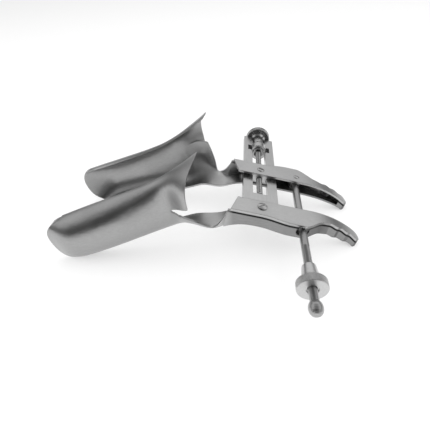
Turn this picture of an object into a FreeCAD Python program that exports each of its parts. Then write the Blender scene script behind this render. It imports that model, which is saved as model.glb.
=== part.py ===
import FreeCAD, Part
import math
import os
from FreeCAD import Vector

# Bivalve speculum in satin stainless steel, all lengths in millimetres.
# Two mirrored pressed valves turn on screws through one guide plate. The rear
# valve rides on a slider that a lead screw moves along the plate's window.
# A cross spindle in the rear handle passes through the front handle, and its
# nut holds the handles squeezed.
#
# It is drawn in the plate's own frame first: X along the handles with the
# blades at -X, Y from the front valve to the rear one, Z normal to the plate.
# At the end it is tipped until blade tips and grips stand level on the floor.

# Sheet and blades
sheet = 1.2
seam = 0.01
bore_gap = 0.02
blade_slope = 32.0
tip_place_x = -109.2
tip_place_z = -44.1
tip_round = 14.0
tip_power = 2.4
tip_depth_share = 0.2
tip_depth_run = 20.0
blade_depth = 12.6
blade_upper_tip = 13.2
blade_upper = 15.3
blade_lower = 13.0
blade_bow = 4.4
waist_from = 42.0
waist_station = 76.0
waist_rise = 3.2
edge_set_back = 2.8
flare_start = 56.0
mouth_reach = 100.0
mouth_upper = 25.6
mouth_depth = 31.0
lip_start = 74.0
lip_station_back = 10.0
mouth_lower = 13.4
lower_edge_lean = 6.2

# Lip rim and slit, as stations along the blade and heights above its centre line
rim_low_back = 11.8
rim_low_station = mouth_reach - rim_low_back
rim_low_height = 6.6
rim_peak_back = 2.1
rim_peak_station = mouth_reach - rim_peak_back
slit_station = 76.8
slit_height = 1.9
slit_width = 2.4
arm_station = 79.0
arm_edge_height = -1.2
closed_edge_height = 6.2
lap = 1.4
lip_tuck = 4.2
arm_swell = 0.75

# Handle channel
channel_height = 8.4
flange_reach = 5.0
web_near = 6.6
web_far = 9.0
web_far_from = 16.0
web_far_to = 22.5
web_grip = 1.6
grip_start = 35.5
grip_end = 57.6
droop_start = 26.5
droop_radius = 57.0
droop_radius_low = 92.0
nose_run = 4.0
scallops = 3
scallop_depth = 0.9
arm_joint_x = -18.0
arm_joint_drop = 4.5
drop_start_x = -4.0
flange_corner_outer_x = -17.4
flange_corner_inner_x = -13.5
neck_x = -24.5
neck_z = -8.6

# Guide plate and its window
spread = 36.3
plate_width = 20.0
plate_thick = 3.0
plate_nose = 3.4
plate_nose_round = 4.5
plate_end = 82.0
window_width = 8.7
window_start = 15.2
notch_half_width = 7.2
notch_length = 6.0

# Pivots
screw_r = 1.6
head_r = 2.65
head_high = 0.9
slot_wide = 0.7
washer_r = 3.6
run_gap = 0.08
face_gap = 0.05
nut_r = 2.9
nut_high = 1.8

# Lead screw, its knob and the slider
lead_r = 1.75
journal_r = 0.9
journal_long = 3.0
collar_r = 5.3
collar_long = 5.0
barrel_r = 3.75
barrel_front = 63.4
collar_set_back = 1.2
collar_start = barrel_front + collar_set_back
knob_r = 8.3
knob_thick = 4.0
knob_dome = 4.0
knob_gap = 0.6
counterbore_r = 2.9
counterbore_deep = 3.0
slider_long = 8.0
slider_gap = 0.12
slider_shoe = 1.9
trunnion_r = 1.9
rear_head_r = 2.3
rear_head_high = 0.5
rear_shank_r = 0.9
pin_r = 0.6
pin_y = 73.0
pin_half = 3.4

# Cross spindle
cross_x = 22.4
cross_r = 2.1
cross_tip_y = -59.4
eye_r = 3.4
eye_thick = 4.2
eye_y = 0.0
rivet_r = 1.25
rivet_head_r = 1.8
rivet_head_high = 0.35
web_hole_r = 3.6
web_hole_high = 2.7
cross_nut_r = 7.3
cross_nut_thick = 4.4
cross_nut_front_y = -46.4
sleeve_long = 9.4
sleeve_small_r = 3.3
sleeve_big_r = 4.4
ball_r = 3.25
ball_long = 7.2

# Motion, used for the slots that the moving pieces need
open_most = 7.0
close_most = 9.0
slider_out = 10.0
slider_in = 12.0
screw_lead = 1.0
nut_out = 5.0
nut_in = 5.0


def lerp(a, b, t):
    return a + (b - a) * t


def ease(t):
    t = min(max(t, 0.0), 1.0)
    return t * t * (3.0 - 2.0 * t)


def spline(points):
    """A smooth curve with evenly spaced knots, so that lofted sections share them."""
    curve = Part.BSplineCurve()
    curve.interpolate(Points=points, Parameters=[float(i) for i in range(len(points))])
    return curve.toShape()


def polygon_face(points):
    return Part.Face(Part.makePolygon(points + [points[0]]))


def cylinder(radius, start, direction, length):
    return Part.makeCylinder(radius, length, start, direction)


def box(x0, x1, y0, y1, z0, z1):
    return Part.makeBox(x1 - x0, y1 - y0, z1 - z0, Vector(x0, y0, z0))


# Blade frame: s runs from the tip to the mouth, h is up across the blade
slope = math.radians(blade_slope)
along = Vector(math.cos(slope), 0, math.sin(slope))
across = Vector(-math.sin(slope), 0, math.cos(slope))
tip_centre = Vector(tip_place_x, 0, tip_place_z)
outward = Vector(0, -1, 0)


def blade_point(s, h, y):
    return tip_centre + along * s + across * h + Vector(0, y, 0)


def flare(s):
    return min(max((s - flare_start) / (mouth_reach - flare_start), 0.0), 1.0)


def blade_station(s):
    """Upper and lower half chords, depth, and where the two edges lie."""
    straight = min(s / flare_start, 1.0)
    upper = lerp(blade_upper_tip, blade_upper, straight)
    upper += (mouth_upper - blade_upper) * flare(s) ** 1.7
    lower = lerp(blade_lower, mouth_lower, flare(s))
    tip = math.sin(math.pi / 2 * min(max(s / tip_depth_run, 0.0), 1.0))
    waist = blade_depth - waist_rise * ease((s - waist_from) / (waist_station - waist_from))
    lip = max((s - lip_start) / (mouth_reach - lip_start), 0.0)
    depth = waist * lerp(tip_depth_share, 1.0, tip)
    depth += (mouth_depth - waist) * lip ** 1.3
    bow = blade_bow * (1.0 - straight) ** 2
    edge_upper = -edge_set_back - bow
    edge_lower = edge_upper + lower_edge_lean * ease((s - 20.0) / 60.0)
    return upper, lower, depth, edge_upper, edge_lower


def section_point(s, turn):
    """A point of the sheet's middle surface, turn going from 0 up to pi at the lower edge."""
    upper, lower, depth, edge_upper, edge_lower = blade_station(s)
    half = upper if math.cos(turn) > 0 else lower
    y = lerp(edge_upper, edge_lower, turn / math.pi) - depth * math.sin(turn) ** 0.9
    return blade_point(s, half * math.cos(turn), y)


def skin_wire(middle, plane_normal):
    """A closed strip of sheet around a row of points, offset within its own plane."""
    outer = []
    inner = []
    for i, point in enumerate(middle):
        before = middle[max(i - 1, 0)]
        after = middle[min(i + 1, len(middle) - 1)]
        side = plane_normal.cross(after - before).normalize() * (sheet / 2)
        outer.append(point + side)
        inner.append(point - side)
    edges = [spline(outer), Part.makeLine(outer[-1], inner[-1])]
    edges += [spline(inner[::-1]), Part.makeLine(inner[0], outer[0])]
    return Part.Wire(edges)


def plate_tool(outline, y0, y1):
    """A cutter drawn as an outline of edges in a plane along Y, between y0 and y1."""
    face = Part.Face(Part.Wire(outline))
    face.translate(Vector(0, y0, 0))
    return face.extrude(Vector(0, y1 - y0, 0))


def blade_curve(points):
    return spline([blade_point(s, h, 0) for s, h in points])


def blade_lines(points):
    spots = [blade_point(s, h, 0) for s, h in points]
    return [Part.makeLine(a, b) for a, b in zip(spots, spots[1:])]


def trough(slit):
    stations = [-0.5, 3, 7, 13, 24, 40, flare_start, 66, 75, arm_station,
                mouth_reach - lip_station_back, mouth_reach]
    steps = [i * math.pi / 12 for i in range(13)]
    wires = [skin_wire([section_point(s, t) for t in steps], along) for s in stations]
    body = Part.makeLoft(wires, True, False)

    # Rounded tip
    ends = blade_station(tip_round)
    tip = []
    for i in range(17):
        angle = math.pi * i / 16 - math.pi / 2
        c, q = math.cos(angle), math.sin(angle)
        s = tip_round * (1 - abs(c) ** (2 / tip_power))
        wide = ends[0] if q > 0 else ends[1]
        tip.append((s, (wide + 0.02) * math.copysign(abs(q) ** (2 / tip_power), q)))
    edges = [blade_curve(tip)]
    edges += blade_lines([tip[-1], (tip_round, 40), (-20, 40), (-20, -40), (tip_round, -40), tip[0]])
    body = body.cut(plate_tool(edges, -60, 30))

    # Rim of the lip, the slit below it, and the end of the lower half
    low = slit_height + slit_width / 2
    under = slit_height - slit_width / 2
    rise = rim_peak_station - rim_low_station
    rim = []
    for q in (1.12, 1.0, 0.8, 0.55, 0.28, 0.0):
        height = lerp(rim_low_height, mouth_upper - 0.6, q)
        rim.append((rim_low_station + rise * (0.3 * q + 0.7 * q ** 3), height))
    edges = [blade_curve(rim)]
    outside = [(arm_station, -60), (160, -60), (160, 60), (rim[0][0], 60), rim[0]]
    if slit:
        edges += blade_lines([rim[-1], (slit_station, low)])
        bend = [blade_point(slit_station, low, 0), blade_point(slit_station - slit_width / 2, slit_height, 0),
                blade_point(slit_station, under, 0)]
        edges.append(Part.Arc(*bend).toShape())
        edges += blade_lines([(slit_station, under), (arm_station, arm_edge_height)] + outside)
    else:
        behind_arm = (rim_low_station - 0.8, rim_low_height - lip_tuck)
        edges += blade_lines([rim[-1], behind_arm, (arm_station, closed_edge_height)] + outside)
    return body.cut(plate_tool(edges, -80, 40))


def nose_centre():
    """Centre and radius of the round end that closes the grip."""
    r = (flange_reach + web_grip) / 2
    return grip_end - r, (flange_reach - web_grip) / 2, r


def web_line(x):
    """Distance of the web's outer face from the pivot, along the handle."""
    if x < web_far_to:
        return lerp(web_near, web_far, ease(x / web_far_from))
    wide = lerp(web_far, web_grip, ease((x - web_far_to) / (grip_start - web_far_to)))
    if x < grip_start:
        return wide
    pitch = (nose_centre()[0] - grip_start) / scallops
    return wide - scallop_depth * math.sin(math.pi * (x - grip_start) / pitch) ** 2


def handle_plan(inset, reach):
    """Plan outline of the handle, with its far end closed by a round nose."""
    nose_x, nose_y, nose_r = nose_centre()
    points = []
    x = -30.0
    while x < nose_x - 0.3:
        points.append(Vector(x, -web_line(x), 0))
        x += 5.0 if x < web_far_from else (nose_x - web_far_from) / 20
    points.append(Vector(nose_x, -web_grip, 0))
    row = []
    for i, p in enumerate(points):
        step = points[min(i + 1, len(points) - 1)] - points[max(i - 1, 0)]
        side = Vector(0, 1, 0) if i == len(points) - 1 else Vector(-step.y, step.x, 0).normalize()
        row.append(p + side * inset)
    r = nose_r - inset
    turn = [Vector(nose_x, nose_y - r, 0), Vector(nose_x + r, nose_y, 0), Vector(nose_x, nose_y + r, 0)]
    edges = [spline(row), Part.Arc(*turn).toShape()]
    spots = [turn[2]] + reach + [row[0]]
    edges += [Part.makeLine(a, b) for a, b in zip(spots, spots[1:])]
    return Part.Face(Part.Wire(edges))


def handle_side(inset):
    """Side outline of the handle: straight, then drooping along concentric arcs."""
    top = channel_height / 2 - inset
    low = -channel_height / 2 + inset

    def arc(height, r, end_x):
        centre = Vector(droop_start, 0, height - r)
        turn = math.asin((end_x - droop_start) / r)
        spots = [centre + Vector(r * math.sin(a), 0, r * math.cos(a)) for a in (0, turn / 2, turn)]
        return spots, Part.Arc(*spots).toShape()

    up_spots, up = arc(top, droop_radius - inset, grip_end - inset)
    low_spots, down = arc(low, droop_radius_low + inset, grip_end - nose_run - inset)
    nose_mid = (up_spots[2] + low_spots[2]) * 0.5 + Vector(nose_run * 0.62, 0, -channel_height * 0.12)
    nose = Part.Arc(up_spots[2], nose_mid, low_spots[2]).toShape()
    left = -30.0
    fall = arm_joint_drop * ((left - drop_start_x) / (arm_joint_x - drop_start_x)) ** 2
    belly = []
    for i in range(7):
        x = lerp(left, drop_start_x, i / 6)
        belly.append(Vector(x, 0, low - fall * ((x - drop_start_x) / (left - drop_start_x)) ** 2))
    edges = [Part.makeLine(Vector(left, 0, top), up_spots[0]), up,
             nose, down,
             Part.makeLine(low_spots[0], belly[-1]), spline(belly),
             Part.makeLine(belly[0], Vector(left, 0, top))]
    return Part.Face(Part.Wire(Part.sortEdges(edges)[0]))


def prism_plan(face):
    face.translate(Vector(0, 0, -40))
    return face.extrude(Vector(0, 0, 80))


def prism_side(face):
    face.translate(Vector(0, -40, 0))
    return face.extrude(Vector(0, 80, 0))


def channel():
    solid = prism_plan(handle_plan(0.0, [Vector(-30, flange_reach, 0)]))
    solid = solid.common(prism_side(handle_side(0.0)))
    solid = solid.common(box(arm_joint_x, 90, -40, flange_reach, -40, 40))
    mouth_x = nose_centre()[0] - 3.0
    reach = [Vector(mouth_x, flange_reach - sheet, 0), Vector(mouth_x, 30, 0), Vector(-30, 30, 0)]
    hollow = prism_plan(handle_plan(sheet, reach)).common(prism_side(handle_side(sheet)))
    solid = solid.cut(hollow)
    # Upper flange, starting on a slant
    trim = polygon_face([Vector(-40, -30, 0), Vector(flange_corner_outer_x - 3.6, -20, 0),
                         Vector(flange_corner_inner_x + 2, flange_reach + 6, 0), Vector(-40, 12, 0)])
    trim.translate(Vector(0, 0, channel_height / 2 - sheet))
    solid = solid.cut(trim.extrude(Vector(0, 0, 10)))
    return solid


def arm(near_height, free_edge):
    """The gutter between blade and handle, along rails from the trough to the channel."""
    upper, lower = blade_station(arm_station)[:2]
    half = upper if near_height > 0 else lower
    start_turn = math.acos(near_height / half)
    rails = 12
    floor_low = -channel_height / 2 - arm_joint_drop + sheet / 2
    web_y = -web_near + sheet / 2
    top = channel_height / 2
    floor_run = flange_reach - web_y
    web_run = top - floor_low
    far = []
    near = []
    pull_far = []
    pull_near = []
    for i in range(rails + 1):
        w = i / rails
        turn = lerp(math.pi, start_turn, w)
        here = section_point(arm_station, turn)
        ahead = section_point(arm_station + 0.5, turn)
        near.append(here)
        pull_near.append((ahead - here) * 2)
        run = w * (floor_run + web_run)
        if run < floor_run:
            far.append(Vector(arm_joint_x, flange_reach - run, floor_low))
        else:
            far.append(Vector(arm_joint_x, web_y, floor_low + run - floor_run))
        pull_far.append(Vector(1, arm_swell * min(1, w / 0.4), 0.6 * (1 - w)))
    wires = []
    steps = 6
    for k in range(steps + 1):
        t = k / steps
        row = []
        for a, b, pa, pb in zip(near, far, pull_near, pull_far):
            pull = (b - a).Length * 0.38
            p1 = a + pa * pull
            p2 = b - pb * pull
            q = a * (1 - t) ** 3 + p1 * (3 * t * (1 - t) ** 2) + p2 * (3 * t * t * (1 - t)) + b * t ** 3
            row.append(q)
        normal = along * (1 - t) + Vector(1, 0, 0) * t
        wires.append(skin_wire(row[::-1], normal.normalize()))
    body = Part.makeLoft(wires, True, False)
    # Free edge of the web, low at the neck
    start = blade_point(arm_station, near_height, 0)
    edge = [(start.x - 3, start.z + 0.5), (start.x, start.z + 0.3)] + free_edge
    edge += [(neck_x, neck_z), (-21.8, -7.4), (-19.7, -3.6), (-18.3, 0.6), (flange_corner_outer_x, 5)]
    spots = [Vector(x, 0, z) for x, z in edge]
    cap = [spots[-1], Vector(flange_corner_outer_x, 0, 40), Vector(spots[0].x, 0, 40), spots[0]]
    edges = [spline(spots)] + [Part.makeLine(a, b) for a, b in zip(cap, cap[1:])]
    return body.cut(plate_tool(edges, -60, -web_near + 2.4))


# Heights of the sheet's faces in the handle channel, above the plate's middle
flange_top = channel_height / 2
flange_under = flange_top - sheet
plate_top = plate_thick / 2
up = Vector(0, 0, 1)
away = Vector(0, 1, 0)


def valve_sheet(slit):
    """One pressed sheet; the front valve's mouth is slit above the arm, the rear one's is closed."""
    if slit:
        joint = arm(arm_edge_height, [(-38.5, -2.6), (-34.5, -3.4), (-31.0, -5.4), (-28.0, -7.0)])
    else:
        joint = arm(closed_edge_height + lap, [(-42.0, 7.4), (-38.4, 9.6), (-36.1, 8.8), (-33.5, 5.6),
                                               (-29.1, -0.8), (-26.6, -5.2)])
    return trough(slit).fuse([joint, channel()], seam)


def upright(radius, x, y, z0, z1):
    return cylinder(radius, Vector(x, y, z0), up, z1 - z0)


def lying(radius, x, y0, y1):
    return cylinder(radius, Vector(x, y0, 0), away, y1 - y0)


def ring(outer, inner, x, y, z0, z1):
    return upright(outer, x, y, z0, z1).cut(upright(inner, x, y, z0 - 1, z1 + 1))


def turned(profile, x):
    """A turned piece on an axis along Y, from radius and Y pairs."""
    face = polygon_face([Vector(x + r, y, 0) for r, y in profile])
    return face.revolve(Vector(x, 0, 0), away, 360)


def dome(radius, height, x, y, z, sense):
    """A low rounded head standing on a flat face."""
    ball = (radius ** 2 + height ** 2) / (2 * height)
    sphere = Part.makeSphere(ball, Vector(x, y, z + sense * (height - ball)))
    low, high = sorted((z, z + sense * height))
    return sphere.common(upright(radius, x, y, low, high))


def front_valve(sheet_metal):
    body = sheet_metal.cut(upright(screw_r + run_gap, 0, 0, -20, 20))
    half = web_hole_r - web_hole_high
    hole = lying(web_hole_high, cross_x - half, -30, 0).fuse(lying(web_hole_high, cross_x + half, -30, 0))
    hole = hole.fuse(box(cross_x - half, cross_x + half, -30, 0, -web_hole_high, web_hole_high))
    return body.cut(hole)


def rear_valve(sheet_metal):
    body = sheet_metal.cut(upright(trunnion_r + run_gap, 0, 0, -20, 20))
    body = body.cut(upright(rivet_r + face_gap, cross_x, eye_y, -20, 20))
    # Slot in the web that lets the plate and the lead screw pass, also when the valve is turned
    turn = math.radians(max(open_most, close_most))
    half = plate_width / 2 / math.cos(turn) + (web_near + 1.5) * math.tan(turn) + 0.3
    high = lead_r + 0.4
    body = body.cut(box(-half, half, -30, -web_near + sheet + 2.0, -high, high))
    return body.mirror(Vector(0, spread / 2, 0), away)


def guide_plate():
    half = plate_width / 2
    nose = plate_nose_round
    body = box(-half, half, nose - plate_nose, plate_end, -plate_top, plate_top)
    body = body.fuse(box(-half + nose, half - nose, -plate_nose, nose, -plate_top, plate_top))
    for side in (-1, 1):
        body = body.fuse(upright(nose, side * (half - nose), nose - plate_nose, -plate_top, plate_top))
    body = body.removeSplitter()
    gap = window_width / 2
    body = body.cut(box(-gap, gap, window_start, plate_end + 1, -5, 5))
    notch_from = collar_start - (notch_length - collar_long) / 2
    body = body.cut(box(-notch_half_width, notch_half_width, notch_from, notch_from + notch_length, -5, 5))
    body = body.cut(lying(journal_r + run_gap, 0, window_start - journal_long - 0.3, window_start + 1))
    return body.cut(upright(screw_r + run_gap, 0, 0, -5, 5))


def front_screw():
    seat = flange_top + face_gap
    end = -flange_top - face_gap - nut_high
    body = upright(screw_r, 0, 0, end, seat)
    head = upright(head_r, 0, 0, seat, seat + head_high * 0.5)
    head = head.fuse(dome(head_r, head_high * 0.5, 0, 0, seat + head_high * 0.5, 1))
    slot = box(-5, 5, -slot_wide / 2, slot_wide / 2, seat + head_high * 0.45, seat + 3)
    slot.rotate(Vector(0, 0, 0), up, 35)
    return body.fuse(head).cut(slot)


def front_nut():
    top = -flange_top - face_gap
    body = ring(nut_r, screw_r, 0, 0, top - nut_high, top)
    for angle in (0, 90):
        slot = box(-5, 5, -0.5, 0.5, top - nut_high - 1, top - nut_high + 0.6)
        slot.rotate(Vector(0, 0, 0), up, angle)
        body = body.cut(slot)
    return body


def front_washer(side):
    low = plate_top + face_gap
    high = flange_under - face_gap
    z0, z1 = sorted((side * low, side * high))
    return ring(washer_r, screw_r, 0, 0, z0, z1)


def slider():
    y0 = spread - slider_long / 2
    y1 = spread + slider_long / 2
    half = window_width / 2 - slider_gap
    high = flange_under - face_gap
    shoe = plate_top + face_gap
    body = box(-half, half, y0, y1, -high, high)
    for side in (-1, 1):
        z0, z1 = sorted((side * shoe, side * high))
        body = body.fuse(box(-half - slider_shoe, half + slider_shoe, y0, y1, z0, z1))
        z0, z1 = sorted((side * shoe, side * flange_top))
        body = body.fuse(upright(trunnion_r, 0, spread, z0, z1))
    body = body.removeSplitter()
    body = body.cut(lying(lead_r + run_gap, 0, y0 - 1, y1 + 1))
    return body.cut(upright(rear_shank_r, 0, spread, -20, 20))


def rear_screw(side):
    seat = side * (flange_top + face_gap)
    z0, z1 = sorted((side * (lead_r + 0.35), seat))
    body = upright(rear_shank_r, 0, spread, z0, z1)
    head = dome(rear_head_r, rear_head_high, 0, spread, seat, side)
    slot = box(-5, 5, -slot_wide / 2, slot_wide / 2, 0, 3)
    slot.rotate(Vector(0, 0, 0), up, -20)
    slot.translate(Vector(0, spread, abs(seat) + rear_head_high * 0.4))
    if side < 0:
        slot = slot.mirror(Vector(0, 0, 0), up)
    return body.fuse(head).cut(slot)


def lead_screw():
    shoulder = window_start + 0.2
    body = lying(lead_r, 0, shoulder, plate_end + knob_gap + knob_thick - 1)
    body = body.fuse(lying(journal_r, 0, window_start - journal_long, shoulder))
    return body.cut(upright(pin_r, 0, pin_y, -20, 20))


def knob():
    """Knurled disc, domed behind, with a barrel that stands between the plate's prongs."""
    face = plate_end + knob_gap
    back = face + knob_thick
    cone = collar_start + collar_long + 3
    cap_r = knob_r * 0.55
    ball = (cap_r ** 2 + knob_dome ** 2) / (2 * knob_dome)
    reach = math.asin(cap_r / ball)
    profile = []
    for i in range(7):
        angle = reach * i / 6
        profile.append((ball * math.sin(angle), back + knob_dome - ball + ball * math.cos(angle)))
    profile += [(knob_r - 0.5, back), (knob_r, back - 0.5), (knob_r, face + 0.5), (knob_r - 0.5, face),
                (barrel_r + 1.2, face), (barrel_r + 0.2, plate_end - 0.5), (barrel_r - 0.5, cone + 2),
                (barrel_r, cone), (barrel_r, barrel_front + 0.4), (barrel_r - 0.4, barrel_front),
                (counterbore_r, barrel_front), (counterbore_r, barrel_front + counterbore_deep),
                (lead_r + bore_gap, barrel_front + counterbore_deep), (lead_r + bore_gap, back - 1 + bore_gap),
                (0, back - 1 + bore_gap)]
    return turned(profile, 0).cut(upright(pin_r, 0, pin_y, -20, 20))


def collar():
    body = lying(collar_r, 0, collar_start, collar_start + collar_long)
    return body.cut(lying(barrel_r, 0, 0, 100))


def knob_pin():
    return upright(pin_r, 0, pin_y, -pin_half, pin_half)


def cross_spindle():
    y = spread - eye_y
    body = upright(eye_r, cross_x, y, -eye_thick / 2, eye_thick / 2)
    body = body.fuse(lying(cross_r, cross_x, cross_tip_y + ball_long / 2, y - eye_r + 1))
    return body.cut(upright(rivet_r + run_gap, cross_x, y, -5, 5))


def cross_rivet():
    y = spread - eye_y
    top = flange_top + face_gap
    body = upright(rivet_r, cross_x, y, -top, top)
    for side in (-1, 1):
        body = body.fuse(dome(rivet_head_r, rivet_head_high, cross_x, y, side * top, side))
    return body


def eye_washer(side):
    z0, z1 = sorted((side * (eye_thick / 2 + face_gap), side * (flange_under - face_gap)))
    return ring(eye_r - 0.2, rivet_r, cross_x, spread - eye_y, z0, z1)


def cross_nut():
    front = cross_nut_front_y
    disc = front + cross_nut_thick
    bore = cross_r + run_gap
    profile = [(bore, disc + sleeve_long), (sleeve_small_r, disc + sleeve_long),
               (sleeve_small_r + 0.15, disc + sleeve_long - 0.8), (sleeve_big_r, disc),
               (cross_nut_r - 0.5, disc), (cross_nut_r, disc - 0.5), (cross_nut_r, front + 0.5),
               (cross_nut_r - 0.5, front), (counterbore_r, front), (counterbore_r, front + 0.8), (bore, front + 0.8)]
    return turned(profile, cross_x)


def cross_knob():
    """A rounded barrel on the spindle's end, its outline a soft oval."""
    middle = cross_tip_y + ball_long / 2
    steps = 10
    profile = []
    for i in range(steps + 1):
        angle = math.pi * i / steps
        profile.append((ball_r * math.sin(angle) ** 0.7, middle - ball_long / 2 * math.cos(angle)))
    profile[-1] = (0.0, middle + ball_long / 2)
    return turned(profile, cross_x).cut(lying(cross_r, cross_x, middle, middle + ball_long))


def pieces():
    return {
        "front_valve": front_valve(valve_sheet(True)),
        "rear_valve": rear_valve(valve_sheet(False)),
        "guide_plate": guide_plate(),
        "front_pivot_screw": front_screw(),
        "front_pivot_nut": front_nut(),
        "front_washer_upper": front_washer(1),
        "front_washer_lower": front_washer(-1),
        "slider": slider(),
        "rear_pivot_screw_upper": rear_screw(1),
        "rear_pivot_screw_lower": rear_screw(-1),
        "height_spindle": lead_screw(),
        "height_knob": knob(),
        "height_knob_collar": collar(),
        "height_knob_pin": knob_pin(),
        "cross_spindle": cross_spindle(),
        "cross_spindle_rivet": cross_rivet(),
        "eye_washer_upper": eye_washer(1),
        "eye_washer_lower": eye_washer(-1),
        "cross_nut": cross_nut(),
        "cross_spindle_knob": cross_knob(),
    }


def corners(shape):
    return shape.tessellate(0.2)[0]


def stance(valve):
    """The tip about Y, in radians, that brings blade tip and grip to one level."""
    points = corners(valve)
    blade = [p for p in points if p.x < -60]
    grip = [p for p in points if p.x > 20]
    low, high = 0.0, 0.6
    for _ in range(40):
        angle = (low + high) / 2
        floor = [min(p.z * math.cos(angle) - p.x * math.sin(angle) for p in side) for side in (blade, grip)]
        if floor[0] < floor[1]:
            low = angle
        else:
            high = angle
    return (low + high) / 2


def place(shapes, angle):
    """How far the tipped assembly moves, so that its base's centre is the origin."""
    for shape in shapes.values():
        shape.rotate(Vector(0, 0, 0), away, math.degrees(angle))
    points = [p for shape in shapes.values() for p in corners(shape)]
    shift = Vector(-(min(p.x for p in points) + max(p.x for p in points)) / 2,
                   -(min(p.y for p in points) + max(p.y for p in points)) / 2,
                   -min(p.z for p in points))
    for shape in shapes.values():
        shape.translate(shift)
    return shift


assembly = pieces()
stance_angle = stance(assembly["front_valve"])
stance_shift = place(assembly, stance_angle)
os.makedirs("parts", exist_ok=True)
for name, shape in assembly.items():
    shape.exportStep("parts/" + name + ".step")
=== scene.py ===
import bpy
import math
from mathutils import Matrix, Vector


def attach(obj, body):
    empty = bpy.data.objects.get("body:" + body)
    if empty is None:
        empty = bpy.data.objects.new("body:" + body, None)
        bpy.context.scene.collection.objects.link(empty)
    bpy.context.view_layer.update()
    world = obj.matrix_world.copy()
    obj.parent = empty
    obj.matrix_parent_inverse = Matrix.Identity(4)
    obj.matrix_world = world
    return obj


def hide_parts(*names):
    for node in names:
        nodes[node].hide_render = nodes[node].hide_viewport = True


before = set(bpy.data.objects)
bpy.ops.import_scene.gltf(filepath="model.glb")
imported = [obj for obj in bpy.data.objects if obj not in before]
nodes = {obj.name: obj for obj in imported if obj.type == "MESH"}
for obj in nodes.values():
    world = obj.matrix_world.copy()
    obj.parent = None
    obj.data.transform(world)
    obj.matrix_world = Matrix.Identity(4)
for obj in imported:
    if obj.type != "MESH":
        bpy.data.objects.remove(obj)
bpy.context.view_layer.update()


# Camera: one exposure from above and in front of the fixed valve,
# at the height and tilt that the photograph's lines give.
bpy.ops.object.select_all(action="DESELECT")
camera_spot = (0.027236, -0.161147, 0.141911)
camera_angles = (50.732, 4.097, 4.412)
focal_length = 29.242
bpy.ops.object.camera_add(location=camera_spot)
camera = bpy.context.object
camera.rotation_euler = [math.radians(angle) for angle in camera_angles]
camera.data.lens = focal_length
camera.data.sensor_width = 36.0
camera.data.clip_start = 0.005
bpy.context.scene.camera = camera
bpy.context.scene.view_settings.view_transform = "Standard"


# Room: a white light tent, whose steel reflections run from a bright floor
# through a dark horizon to a bright ceiling, with the open, dark side behind the camera.
soft_light = 0.78
wall_bands = ((0.0, 0.9), (0.46, 0.75), (0.52, 0.18), (0.61, 0.12),
              (0.7, 0.85), (0.82, 1.0), (0.92, 0.4), (1.0, 0.25))
open_toward = (-0.1, -0.93, 0.35)
open_from = 0.35
open_full = 0.92
open_light = 0.08
room = bpy.data.worlds.new("light_tent")
bpy.context.scene.world = room
room.use_nodes = True
tree = room.node_tree
tree.nodes.clear()
link = tree.links.new
room_out = tree.nodes.new("ShaderNodeOutputWorld")
soft = tree.nodes.new("ShaderNodeBackground")
soft.inputs["Color"].default_value = (1, 1, 1, 1)
soft.inputs["Strength"].default_value = soft_light
mirrored = tree.nodes.new("ShaderNodeBackground")
choose = tree.nodes.new("ShaderNodeMixShader")
backdrop = tree.nodes.new("ShaderNodeBackground")
backdrop.inputs["Color"].default_value = (1, 1, 1, 1)
seen = tree.nodes.new("ShaderNodeMixShader")
rays = tree.nodes.new("ShaderNodeLightPath")
direction = tree.nodes.new("ShaderNodeTexCoord")
split = tree.nodes.new("ShaderNodeSeparateXYZ")
height = tree.nodes.new("ShaderNodeMapRange")
height.inputs["From Min"].default_value = -1.0
walls = tree.nodes.new("ShaderNodeValToRGB")
while len(walls.color_ramp.elements) < len(wall_bands):
    walls.color_ramp.elements.new(0.5)
for element, (spot, light) in zip(walls.color_ramp.elements, wall_bands):
    element.position = spot
    element.color = (light, light, light, 1)
open_side = tree.nodes.new("ShaderNodeVectorMath")
open_side.operation = "DOT_PRODUCT"
open_side.inputs[1].default_value = open_toward
shade = tree.nodes.new("ShaderNodeMapRange")
shade.interpolation_type = "SMOOTHSTEP"
shade.inputs["From Min"].default_value = open_from
shade.inputs["From Max"].default_value = open_full
shade.inputs["To Min"].default_value = 1.0
shade.inputs["To Max"].default_value = open_light
link(direction.outputs["Generated"], split.inputs[0])
link(split.outputs["Z"], height.inputs["Value"])
link(height.outputs["Result"], walls.inputs["Fac"])
link(direction.outputs["Generated"], open_side.inputs[0])
link(open_side.outputs["Value"], shade.inputs["Value"])
link(walls.outputs["Color"], mirrored.inputs["Color"])
link(shade.outputs["Result"], mirrored.inputs["Strength"])
link(rays.outputs["Is Glossy Ray"], choose.inputs["Fac"])
link(soft.outputs[0], choose.inputs[1])
link(mirrored.outputs[0], choose.inputs[2])
link(rays.outputs["Is Camera Ray"], seen.inputs["Fac"])
link(choose.outputs[0], seen.inputs[1])
link(backdrop.outputs[0], seen.inputs[2])
link(seen.outputs[0], room_out.inputs["Surface"])

# Three soft panels over and beside the table, kept out of the steel's reflections
for name, spot, aim, wide, power in (
        ("sky_panel", (0.0, 0.05, 0.75), (0.0, 0.0, 0.0), 1.4, 4.2),
        ("left_panel", (-0.6, -0.25, 0.45), (-0.03, 0.0, 0.02), 0.6, 1.5),
        ("right_panel", (0.55, -0.1, 0.4), (0.05, 0.0, 0.02), 0.6, 1.2)):
    bpy.ops.object.light_add(type="AREA", location=spot)
    panel = bpy.context.object
    panel.name = name
    panel.data.size = wide
    panel.data.energy = power
    panel.visible_glossy = False
    panel.rotation_euler = (Vector(aim) - Vector(spot)).to_track_quat("-Z", "Y").to_euler()


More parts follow.
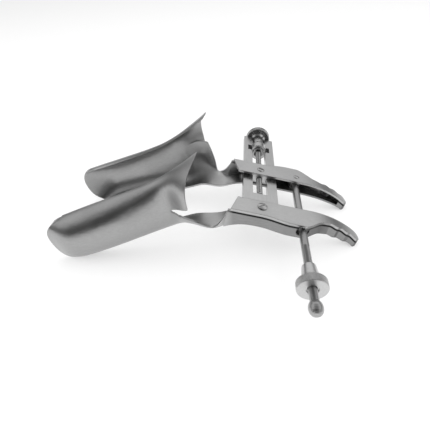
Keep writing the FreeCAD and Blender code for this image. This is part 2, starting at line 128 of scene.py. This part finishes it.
# Table: a sheet of matt white paper on which the instrument stands.
# Part of its white is its own, seen directly or in the steel, so that its shadows stay light.
table_size = 6
table_level = -0.0001
paper_white = 0.93
paper_rough = 0.9
paper_glow = 0.5
bpy.ops.mesh.primitive_plane_add(size=table_size, location=(0, 0, table_level))
table = bpy.context.object
table.name = "table"
paper = bpy.data.materials.new("paper")
paper.use_nodes = True
tree = paper.node_tree
link = tree.links.new
matt = tree.nodes["Principled BSDF"]
matt.inputs["Base Color"].default_value = (paper_white, paper_white, paper_white, 1)
matt.inputs["Roughness"].default_value = paper_rough
glow = tree.nodes.new("ShaderNodeEmission")
rays = tree.nodes.new("ShaderNodeLightPath")
seen = tree.nodes.new("ShaderNodeMath")
seen.operation = "MAXIMUM"
share = tree.nodes.new("ShaderNodeMath")
share.operation = "MULTIPLY"
share.inputs[1].default_value = paper_glow
choose = tree.nodes.new("ShaderNodeMixShader")
link(rays.outputs["Is Camera Ray"], seen.inputs[0])
link(rays.outputs["Is Glossy Ray"], seen.inputs[1])
link(seen.outputs["Value"], share.inputs[0])
link(share.outputs["Value"], choose.inputs["Fac"])
link(matt.outputs[0], choose.inputs[1])
link(glow.outputs[0], choose.inputs[2])
link(choose.outputs[0], tree.nodes["Material Output"].inputs["Surface"])
table.data.materials.append(paper)


# Valves: each is one stainless sheet, pressed to a trough with a flared mouth and folded
# on into a handle channel. It is brushed along the blade, and its edges are rounded and polished.
mm = 0.001
lean = math.atan2(0.260283785, 0.96553216)
seat_spot = Vector((31.788, -15.6, 23.581))
seat = Matrix.Translation(seat_spot * mm) @ Matrix.Rotation(lean, 4, "Y")
sheet_up = seat.to_3x3() @ Vector((0, 0, 1))
sheet_along = seat.to_3x3() @ Vector((1, 0, 0))
flange_top = 4.2
droop_start = 26.5
droop_r = 57.0
neck = (-12.0, 14.0)
channel_start = (10.5, 17.5)
fold_depth = 4.0
# Painted shade on the handle's web, below the painted shadow line under the flange.
web_shade_tone = 0.52
# Painted shade on the slopes of the finger grooves.
groove_shade_tone = 0.5


def brushed(name, tone, rough, streak, grain=0.02, rounding=0.22, handle=1.0, ledge_shadow=0.0):
    """Satin steel with fine scratches drawn out along one axis, cloudy wear and rounded edges.
    Past the neck, handle brightens the finish. There the last argument sets a painted shadow line
    under the flange's edge, by depth below the crest, and painted shade on the web and finger grooves."""
    material = bpy.data.materials.new(name)
    material.use_nodes = True
    tree = material.node_tree
    new = tree.nodes.new
    link = tree.links.new
    metal = tree.nodes["Principled BSDF"]
    metal.inputs["Metallic"].default_value = 1.0
    place = new("ShaderNodeTexCoord")
    stretch = new("ShaderNodeMapping")
    stretch.inputs["Scale"].default_value = streak
    link(place.outputs["Object"], stretch.inputs["Vector"])
    scratch = new("ShaderNodeTexNoise")
    scratch.inputs["Scale"].default_value = 1.0
    scratch.inputs["Detail"].default_value = 5.0
    scratch.inputs["Roughness"].default_value = 0.65
    link(stretch.outputs["Vector"], scratch.inputs["Vector"])
    cloud = new("ShaderNodeTexNoise")
    cloud.inputs["Scale"].default_value = 55.0
    cloud.inputs["Detail"].default_value = 3.0
    link(place.outputs["Object"], cloud.inputs["Vector"])
    colour = new("ShaderNodeMapRange")
    colour.inputs["From Min"].default_value = 0.25
    colour.inputs["From Max"].default_value = 0.75
    colour.inputs["To Min"].default_value = tone * 0.9
    colour.inputs["To Max"].default_value = tone * 1.08
    link(scratch.outputs["Fac"], colour.inputs["Value"])
    rounded = new("ShaderNodeBevel")
    rounded.samples = 4
    rounded.inputs["Radius"].default_value = rounding * mm
    shine = colour.outputs["Result"]
    if handle != 1.0:
        axes = new("ShaderNodeSeparateXYZ")
        link(place.outputs["Object"], axes.inputs[0])
        past_neck = new("ShaderNodeMapRange")
        past_neck.interpolation_type = "SMOOTHSTEP"
        past_neck.inputs["From Min"].default_value = neck[0] * mm
        past_neck.inputs["From Max"].default_value = neck[1] * mm
        link(axes.outputs["X"], past_neck.inputs["Value"])
        lift = new("ShaderNodeMath")
        lift.operation = "MULTIPLY_ADD"
        lift.inputs[1].default_value = handle - 1.0
        lift.inputs[2].default_value = 1.0
        link(past_neck.outputs["Result"], lift.inputs[0])
        lifted = new("ShaderNodeMath")
        lifted.operation = "MULTIPLY"
        link(shine, lifted.inputs[0])
        link(lift.outputs["Value"], lifted.inputs[1])
        from_seat = new("ShaderNodeVectorMath")
        from_seat.operation = "SUBTRACT"
        from_seat.inputs[1].default_value = seat.translation
        link(place.outputs["Object"], from_seat.inputs[0])
        reach = new("ShaderNodeVectorMath")
        reach.operation = "DOT_PRODUCT"
        reach.inputs[1].default_value = sheet_along
        link(from_seat.outputs["Vector"], reach.inputs[0])
        rise = new("ShaderNodeVectorMath")
        rise.operation = "DOT_PRODUCT"
        rise.inputs[1].default_value = sheet_up
        link(from_seat.outputs["Vector"], rise.inputs[0])
        droop = new("ShaderNodeMapRange")
        droop.inputs["From Min"].default_value = droop_start * mm
        droop.inputs["From Max"].default_value = (droop_start + droop_r) * mm
        link(reach.outputs["Value"], droop.inputs["Value"])
        squared = new("ShaderNodeMath")
        squared.operation = "MULTIPLY_ADD"
        squared.inputs[2].default_value = 1.0
        negative = new("ShaderNodeMath")
        negative.operation = "MULTIPLY"
        negative.inputs[1].default_value = -1.0
        link(droop.outputs["Result"], negative.inputs[0])
        link(droop.outputs["Result"], squared.inputs[0])
        link(negative.outputs["Value"], squared.inputs[1])
        root = new("ShaderNodeMath")
        root.operation = "SQRT"
        link(squared.outputs["Value"], root.inputs[0])
        crest = new("ShaderNodeMath")
        crest.operation = "MULTIPLY_ADD"
        crest.inputs[1].default_value = droop_r * mm
        crest.inputs[2].default_value = (flange_top - droop_r) * mm
        link(root.outputs["Value"], crest.inputs[0])
        below = new("ShaderNodeMath")
        below.operation = "SUBTRACT"
        link(crest.outputs["Value"], below.inputs[0])
        link(rise.outputs["Value"], below.inputs[1])
        depth = new("ShaderNodeMapRange")
        depth.inputs["From Max"].default_value = fold_depth * mm
        link(below.outputs["Value"], depth.inputs["Value"])
        # Painted shade: a dark shadow line under the flange's edge, with the web below it darker, by depth
        # below the crest.
        ledge_shade = new("ShaderNodeValToRGB")
        ledge_shade_tones = ((0.0, 1.0), (0.03, 0.92), (0.34, 0.84),
                      (0.4, 1.0 - ledge_shadow), (0.62, 1.0 - ledge_shadow), (0.72, web_shade_tone))
        while len(ledge_shade.color_ramp.elements) < len(ledge_shade_tones):
            ledge_shade.color_ramp.elements.new(0.5)
        for element, (spot, light) in zip(ledge_shade.color_ramp.elements, ledge_shade_tones):
            element.position = spot
            element.color = (light, light, light, 1)
        link(depth.outputs["Result"], ledge_shade.inputs["Fac"])
        channel = new("ShaderNodeMapRange")
        channel.inputs["From Min"].default_value = channel_start[0] * mm
        channel.inputs["From Max"].default_value = channel_start[1] * mm
        link(axes.outputs["X"], channel.inputs["Value"])
        sloping = new("ShaderNodeVectorMath")
        sloping.operation = "DOT_PRODUCT"
        sloping.inputs[1].default_value = sheet_along
        link(rounded.outputs["Normal"], sloping.inputs[0])
        # Painted shade on the finger grooves: slopes that face along the handle are darkened.
        groove_shade = new("ShaderNodeMapRange")
        groove_shade.inputs["From Min"].default_value = 0.14
        groove_shade.inputs["From Max"].default_value = 0.34
        groove_shade.inputs["To Min"].default_value = 1.0
        groove_shade.inputs["To Max"].default_value = groove_shade_tone
        link(sloping.outputs["Value"], groove_shade.inputs["Value"])
        # The painted shade of the ledge and the grooves together, laid on the handle's channel only.
        ledge_and_groove_shade = new("ShaderNodeMath")
        ledge_and_groove_shade.operation = "MULTIPLY"
        link(ledge_shade.outputs["Color"], ledge_and_groove_shade.inputs[0])
        link(groove_shade.outputs["Result"], ledge_and_groove_shade.inputs[1])
        only_handle = new("ShaderNodeMix")
        only_handle.inputs["A"].default_value = 1.0
        link(channel.outputs["Result"], only_handle.inputs["Factor"])
        link(ledge_and_groove_shade.outputs["Value"], only_handle.inputs["B"])
        folded = new("ShaderNodeMath")
        folded.operation = "MULTIPLY"
        link(lifted.outputs["Value"], folded.inputs[0])
        link(only_handle.outputs["Result"], folded.inputs[1])
        shine = folded.outputs["Value"]
    tint = new("ShaderNodeCombineColor")
    for colour_part in ("Red", "Green", "Blue"):
        link(shine, tint.inputs[colour_part])
    link(tint.outputs["Color"], metal.inputs["Base Color"])
    polish = new("ShaderNodeMapRange")
    polish.inputs["From Min"].default_value = 0.3
    polish.inputs["From Max"].default_value = 0.7
    polish.inputs["To Min"].default_value = rough - 0.05
    polish.inputs["To Max"].default_value = rough + 0.06
    link(cloud.outputs["Fac"], polish.inputs["Value"])
    link(polish.outputs["Result"], metal.inputs["Roughness"])
    furrows = new("ShaderNodeBump")
    furrows.inputs["Strength"].default_value = 0.35
    furrows.inputs["Distance"].default_value = grain * mm
    link(scratch.outputs["Fac"], furrows.inputs["Height"])
    link(rounded.outputs["Normal"], furrows.inputs["Normal"])
    link(furrows.outputs["Normal"], metal.inputs["Normal"])
    return material


def pick(piece):
    bpy.ops.object.select_all(action="DESELECT")
    piece.select_set(True)
    bpy.context.view_layer.objects.active = piece


def dress(piece, material):
    piece.data.materials.clear()
    piece.data.materials.append(material)


def smooth(piece, crease):
    """Shade smooth with hard creases above an angle, the large faces kept flat."""
    pick(piece)
    bpy.ops.object.shade_smooth()
    bpy.ops.object.mode_set(mode="EDIT")
    bpy.ops.mesh.select_mode(type="EDGE")
    bpy.ops.mesh.select_all(action="DESELECT")
    bpy.ops.mesh.edges_select_sharp(sharpness=math.radians(crease))
    bpy.ops.mesh.mark_sharp()
    bpy.ops.mesh.select_mode(type="VERT")
    bpy.ops.object.mode_set(mode="OBJECT")
    even = piece.modifiers.new("even", "WEIGHTED_NORMAL")
    even.keep_sharp = True
    even.weight = 60
    bpy.ops.object.modifier_apply(modifier=even.name)


def take_copy(node, name):
    """A copy of a part's solid with its loose triangles joined and its flat faces made whole."""
    join_gap = 1.5e-5
    piece = nodes[node].copy()
    piece.data = nodes[node].data.copy()
    piece.name = name
    piece.parent = None
    for key in list(piece.keys()):
        del piece[key]
    bpy.context.scene.collection.objects.link(piece)
    pick(piece)
    bpy.ops.object.mode_set(mode="EDIT")
    bpy.ops.mesh.select_all(action="SELECT")
    bpy.ops.mesh.remove_doubles(threshold=join_gap)
    bpy.ops.mesh.dissolve_degenerate(threshold=join_gap)
    bpy.ops.mesh.dissolve_limited(angle_limit=math.radians(0.2))
    bpy.ops.object.mode_set(mode="OBJECT")
    return piece


# The handles carry a painted shadow line under the flange and painted shade on the web and finger grooves.
blade_steel = brushed("blade_steel", 0.38, 0.33, (300, 2600, 1500),
                      rounding=0.55, handle=1.45, ledge_shadow=0.96)
for valve in ("front_valve", "rear_valve"):
    pressed = take_copy(valve, valve + "_sheet")
    smooth(pressed, 28)
    dress(pressed, blade_steel)
    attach(pressed, valve)
    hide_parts(valve)


# Guide plate and slider: a flat bar with a window cut along it, and the shoe that runs there.
# Both are milled from plate and brushed across, so their grain is coarser than the blades'.
plate_steel = brushed("plate_steel", 0.56, 0.33, (2600, 130, 2600), grain=0.04)
dress(nodes["guide_plate"], plate_steel)
dress(nodes["slider"], plate_steel)


# Pivot screws, rivet, nut and washers: small turned fasteners, bright from the lathe.
# The screws hold the valves to the plate and the slider, the rivet holds the cross spindle's eye.
turned_steel = brushed("turned_steel", 0.5, 0.24, (600, 3500, 600), grain=0.03)
for name in ("front_pivot_screw", "front_pivot_nut", "front_washer_upper", "front_washer_lower",
             "rear_pivot_screw_upper", "rear_pivot_screw_lower", "cross_spindle_rivet",
             "eye_washer_upper", "eye_washer_lower", "height_knob_pin", "height_knob_collar"):
    dress(nodes[name], turned_steel)


# Lead screw: a turned rod that spreads the valves, with a cut thread between its journal,
# which turns in the plate's nose, and the plain end that is pinned into the height knob.
lead_r = 1.75
lead_from = 16.4
lead_to = 65.0
lead_pitch = 1.0
thread_deep = 0.26
thread_steps = 24
saw_gap = 1e-7
upright_to_y = Matrix.Rotation(math.radians(-90), 4, "X")


def settle(piece, x, y=0.0):
    """Lay a piece modelled upright along the instrument's Y axis, and put its place in its mesh."""
    pick(piece)
    piece.matrix_world = seat @ Matrix.Translation(Vector((x, y, 0)) * mm) @ upright_to_y
    bpy.ops.object.transform_apply(location=True, rotation=True, scale=True)


def cut_thread(name, radius, low, high, pitch):
    """A closed rod whose surface is a swept tooth: one point, drawn up to a tooth, then screwed."""
    bpy.ops.object.select_all(action="DESELECT")
    bpy.ops.mesh.primitive_plane_add(size=mm, location=(0, 0, 0))
    piece = bpy.context.object
    piece.name = name
    bpy.ops.object.mode_set(mode="EDIT")
    bpy.ops.mesh.select_all(action="SELECT")
    bpy.ops.mesh.merge(type="CENTER")
    start = low - pitch * 1.013
    bpy.ops.transform.translate(value=((radius - thread_deep) * mm, 0, start * mm))
    rise = pitch / 2 * mm
    bpy.ops.mesh.extrude_region_move(TRANSFORM_OT_translate={"value": (thread_deep * mm, 0, rise)})
    bpy.ops.mesh.extrude_region_move(TRANSFORM_OT_translate={"value": (-thread_deep * mm, 0, rise)})
    bpy.ops.object.mode_set(mode="OBJECT")
    sweep = piece.modifiers.new("sweep", "SCREW")
    sweep.axis = "Z"
    sweep.screw_offset = pitch * mm
    sweep.iterations = math.ceil((high - low) / pitch) + 2
    sweep.steps = thread_steps
    sweep.render_steps = thread_steps
    pick(piece)
    bpy.ops.object.modifier_apply(modifier=sweep.name)
    bpy.ops.object.mode_set(mode="EDIT")
    for level, under in ((low, True), (high, False)):
        bpy.ops.mesh.select_all(action="SELECT")
        bpy.ops.mesh.remove_doubles(threshold=2e-6)
        bpy.ops.mesh.bisect(plane_co=(0, 0, level * mm), plane_no=(0, 0, 1), use_fill=True,
                            clear_inner=under, clear_outer=not under, threshold=saw_gap)
    bpy.ops.mesh.select_all(action="SELECT")
    bpy.ops.mesh.normals_make_consistent(inside=False)
    bpy.ops.object.mode_set(mode="OBJECT")
    return piece


def keep_end(piece, y, front):
    """Saw a piece square to Y and keep its front or its back end."""
    pick(piece)
    bpy.ops.object.mode_set(mode="EDIT")
    bpy.ops.mesh.select_all(action="SELECT")
    bpy.ops.mesh.bisect(plane_co=seat @ Vector((0, y * mm, 0)), plane_no=(0, 1, 0), use_fill=True,
                        clear_inner=not front, clear_outer=front, threshold=saw_gap)
    bpy.ops.object.mode_set(mode="OBJECT")


journal = take_copy("height_spindle", "lead_screw_front")
keep_end(journal, lead_from, True)
plain_end = take_copy("height_spindle", "lead_screw_back")
keep_end(plain_end, lead_to, False)
lead_thread = cut_thread("lead_screw_thread", lead_r, lead_from, lead_to, lead_pitch)
settle(lead_thread, 0.0)
for piece in (journal, plain_end, lead_thread):
    smooth(piece, 32)
    dress(piece, turned_steel)
    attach(piece, "height_screw")
    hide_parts("height_spindle")


# Height knob: a knurled disc, domed behind, and in front of it a long barrel whose mouth is
# counterbored. All are turned in one piece, and the screw's end is riveted over on the dome.
knob_face = 82.6
knob_thick = 4.0
knob_r = 8.3
knob_dome = 4.0
knurl_deep = 0.3
bore_r = 1.8
mouth_r = 2.9
mouth_back = 66.4
barrel_front = 63.4
barrel_back = 72.2
barrel_r = 3.75
waist_r = 3.3
flare_back = 81.5
rivet_r = 2.1
dome_steps = 14
knob_rows = 6


def turn_on_lathe(name, stations, bored, sides=96):
    """A ring drawn up from station to station, each (height, radius), which is then closed:
    bridged from end to end along a bore, or else filled at both ends."""
    bpy.ops.object.select_all(action="DESELECT")
    height, radius = stations[0]
    bpy.ops.mesh.primitive_circle_add(vertices=sides, radius=radius * mm, location=(0, 0, 0))
    piece = bpy.context.object
    piece.name = name
    bpy.ops.object.mode_set(mode="EDIT")
    bpy.ops.mesh.select_all(action="SELECT")
    bpy.ops.transform.translate(value=(0, 0, height * mm))
    for up, wide in stations[1:]:
        bpy.ops.mesh.extrude_region_move(TRANSFORM_OT_translate={"value": (0, 0, (up - height) * mm)})
        grow = wide / radius
        bpy.ops.transform.resize(value=(grow, grow, 1), center_override=(0, 0, 0))
        height, radius = up, wide
    bpy.ops.mesh.select_all(action="DESELECT")
    bpy.ops.mesh.select_non_manifold(extend=False, use_wire=False, use_boundary=True,
                                     use_multi_face=False, use_non_contiguous=False, use_verts=False)
    if bored:
        bpy.ops.mesh.bridge_edge_loops()
    else:
        bpy.ops.mesh.fill_holes(sides=0)
    bpy.ops.mesh.select_all(action="SELECT")
    bpy.ops.mesh.normals_make_consistent(inside=False)
    bpy.ops.object.mode_set(mode="OBJECT")
    return piece


def knurl(piece, radius, low, high, rows, deep, sides=96):
    """Diamond knurling: every second point of the rim's grid is pressed in, then cut to facets."""
    pick(piece)
    bpy.ops.object.mode_set(mode="EDIT")
    bpy.ops.mesh.select_mode(type="VERT")
    bpy.ops.mesh.select_all(action="DESELECT")
    bpy.ops.object.mode_set(mode="OBJECT")
    step = (high - low) / rows
    for point in piece.data.vertices:
        row = (point.co.z / mm - low) / step
        on_rim = abs(point.co.xy.length / mm - radius) < 0.02 and -0.1 < row < rows + 0.1
        column = round(math.atan2(point.co.y, point.co.x) / (2 * math.pi) * sides)
        point.select = on_rim and (round(row) + column) % 2 == 0
    bpy.ops.object.mode_set(mode="EDIT")
    sink = 1 - deep / radius
    bpy.ops.transform.resize(value=(sink, sink, 1), center_override=(0, 0, 0))
    bpy.ops.mesh.select_all(action="DESELECT")
    bpy.ops.mesh.select_mode(type="FACE")
    bpy.ops.object.mode_set(mode="OBJECT")
    for face in piece.data.polygons:
        middle = face.center
        face.select = middle.xy.length / mm > radius - deep - 0.1 and low < middle.z / mm < high
    bpy.ops.object.mode_set(mode="EDIT")
    bpy.ops.mesh.quads_convert_to_tris(quad_method="SHORTEST_DIAGONAL")
    bpy.ops.mesh.select_mode(type="VERT")
    bpy.ops.object.mode_set(mode="OBJECT")


def rim_grid(low, high, radius, rows):
    return [(low + (high - low) * row / rows, radius) for row in range(rows + 1)]


knob_back = knob_face + knob_thick
cap_r = knob_r * 0.55
dome_r = (cap_r ** 2 + knob_dome ** 2) / (2 * knob_dome)
dome_turn = math.asin(cap_r / dome_r)
dome_top = knob_back + knob_dome
knob_rim = (knob_face + 0.5, knob_back - 0.5)
stations = [(knob_back - 1.0, 0.3), (knob_back - 1.0, bore_r), (mouth_back, bore_r), (mouth_back, mouth_r),
            (barrel_front + 0.1, mouth_r), (barrel_front, mouth_r + 0.1),
            (barrel_front, barrel_r - 0.4), (barrel_front + 0.1, barrel_r - 0.15),
            (barrel_front + 0.4, barrel_r), (barrel_back, barrel_r), (barrel_back + 0.4, barrel_r - 0.05),
            (barrel_back + 1.8, waist_r), (barrel_back + 2.4, waist_r), (flare_back, waist_r + 0.65),
            (knob_face, waist_r + 1.65), (knob_face, knob_r - 0.6), (knob_face + 0.1, knob_r - 0.4)]
stations += rim_grid(knob_rim[0], knob_rim[1], knob_r, knob_rows)
stations += [(knob_back - 0.1, knob_r - 0.4), (knob_back, knob_r - 0.6), (knob_back - 0.05, cap_r + 0.5)]
for step in range(dome_steps - 1, 4, -1):
    angle = dome_turn * step / dome_steps
    stations.append((dome_top - dome_r + dome_r * math.cos(angle), dome_r * math.sin(angle)))
stations += [(dome_top - 0.35, rivet_r), (dome_top + 0.5, rivet_r - 0.1),
             (dome_top + 1.0, rivet_r - 0.6), (dome_top + 1.2, rivet_r - 1.3)]
knob = turn_on_lathe("height_knob_turned", stations, False)
knurl(knob, knob_r, knob_rim[0], knob_rim[1], knob_rows, knurl_deep)
settle(knob, 0.0)
smooth(knob, 25)
dress(knob, turned_steel)
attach(knob, "height_screw")
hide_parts("height_knob")


# Thrust blocks: two steel keys that sit in the plate's notches beside the collar and take the push
# of the lead screw, filed square with a small chamfer. Their near-black is painted shade for the notches.
key_from = 5.45
key_to = 7.05
key_front = 64.5
key_long = 5.2
key_high = 2.6
key_chamfer = 0.25
# Near-black colour: painted shade standing for the shade in the plate's notches.
notch_shade_black = brushed("notch_shade_black", 0.035, 0.5, (900, 900, 900))
for side in (-1, 1):
    bpy.ops.object.select_all(action="DESELECT")
    bpy.ops.mesh.primitive_cube_add(size=mm, location=(0, 0, 0))
    key = bpy.context.object
    key.name = "thrust_block_" + ("left" if side < 0 else "right")
    bpy.ops.object.mode_set(mode="EDIT")
    bpy.ops.mesh.select_all(action="SELECT")
    bpy.ops.transform.resize(value=(key_to - key_from, key_high, key_long), center_override=(0, 0, 0))
    bpy.ops.mesh.bevel(offset=key_chamfer * mm, segments=2, affect="EDGES")
    bpy.ops.object.mode_set(mode="OBJECT")
    settle(key, side * (key_from + key_to) / 2, key_front + key_long / 2)
    smooth(key, 32)
    dress(key, notch_shade_black)
    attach(key, "guide_plate")


# Cross spindle: a round rod riveted by its eye to the rear handle, plain where it passes
# the front handle's web, threaded for the nut, with a ball end so that the nut stays on.
rod_x = 22.4
rod_r = 2.1
rod_tip = -59.4
rod_pitch = 0.8
rod_thread_to = -20.0
rod_steel = brushed("rod_steel", 0.42, 0.36, (900, 500, 900), grain=0.03)
rod = take_copy("cross_spindle", "cross_rod")
keep_end(rod, rod_thread_to, False)
rod_thread = cut_thread("cross_rod_thread", rod_r, rod_tip + 4.0, rod_thread_to, rod_pitch)
settle(rod_thread, rod_x)
for piece in (rod, rod_thread):
    smooth(piece, 32)
    dress(piece, rod_steel)
    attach(piece, "cross_spindle")
    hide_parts("cross_spindle")
dress(nodes["cross_spindle_knob"], rod_steel)


# Cross nut: a knurled disc and a tapered sleeve turned in one piece. It runs on the
# cross spindle's thread against the front handle and sets how far the valves open.
nut_front = -46.4
nut_thick = 4.4
nut_r = 7.3
nut_bore_r = 2.2
nut_mouth_r = 2.9
sleeve_long = 9.4
sleeve_root_r = 4.35
sleeve_tip_r = 3.45
nut_rows = 8
nut_steel = brushed("nut_steel", 0.6, 0.34, (900, 900, 900), grain=0.03)
disc = nut_front + nut_thick
sleeve_end = disc + sleeve_long
nut_rim = (nut_front + 0.45, disc - 0.45)
stations = [(nut_front + 0.8, nut_bore_r), (nut_front + 0.8, nut_mouth_r),
            (nut_front + 0.1, nut_mouth_r), (nut_front, nut_mouth_r + 0.1),
            (nut_front, nut_r - 0.55), (nut_front + 0.08, nut_r - 0.4)]
stations += rim_grid(nut_rim[0], nut_rim[1], nut_r, nut_rows)
stations += [(disc - 0.08, nut_r - 0.4), (disc, nut_r - 0.55), (disc, sleeve_root_r + 0.55),
             (disc + 0.15, sleeve_root_r + 0.2), (disc + 0.5, sleeve_root_r),
             (sleeve_end - 0.8, sleeve_tip_r), (sleeve_end - 0.2, sleeve_tip_r - 0.15),
             (sleeve_end, sleeve_tip_r - 0.35), (sleeve_end, nut_bore_r)]
nut = turn_on_lathe("cross_nut_knurled", stations, True)
knurl(nut, nut_r, nut_rim[0], nut_rim[1], nut_rows, knurl_deep)
settle(nut, rod_x)
smooth(nut, 25)
dress(nut, nut_steel)
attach(nut, "cross_nut")
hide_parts("cross_nut")
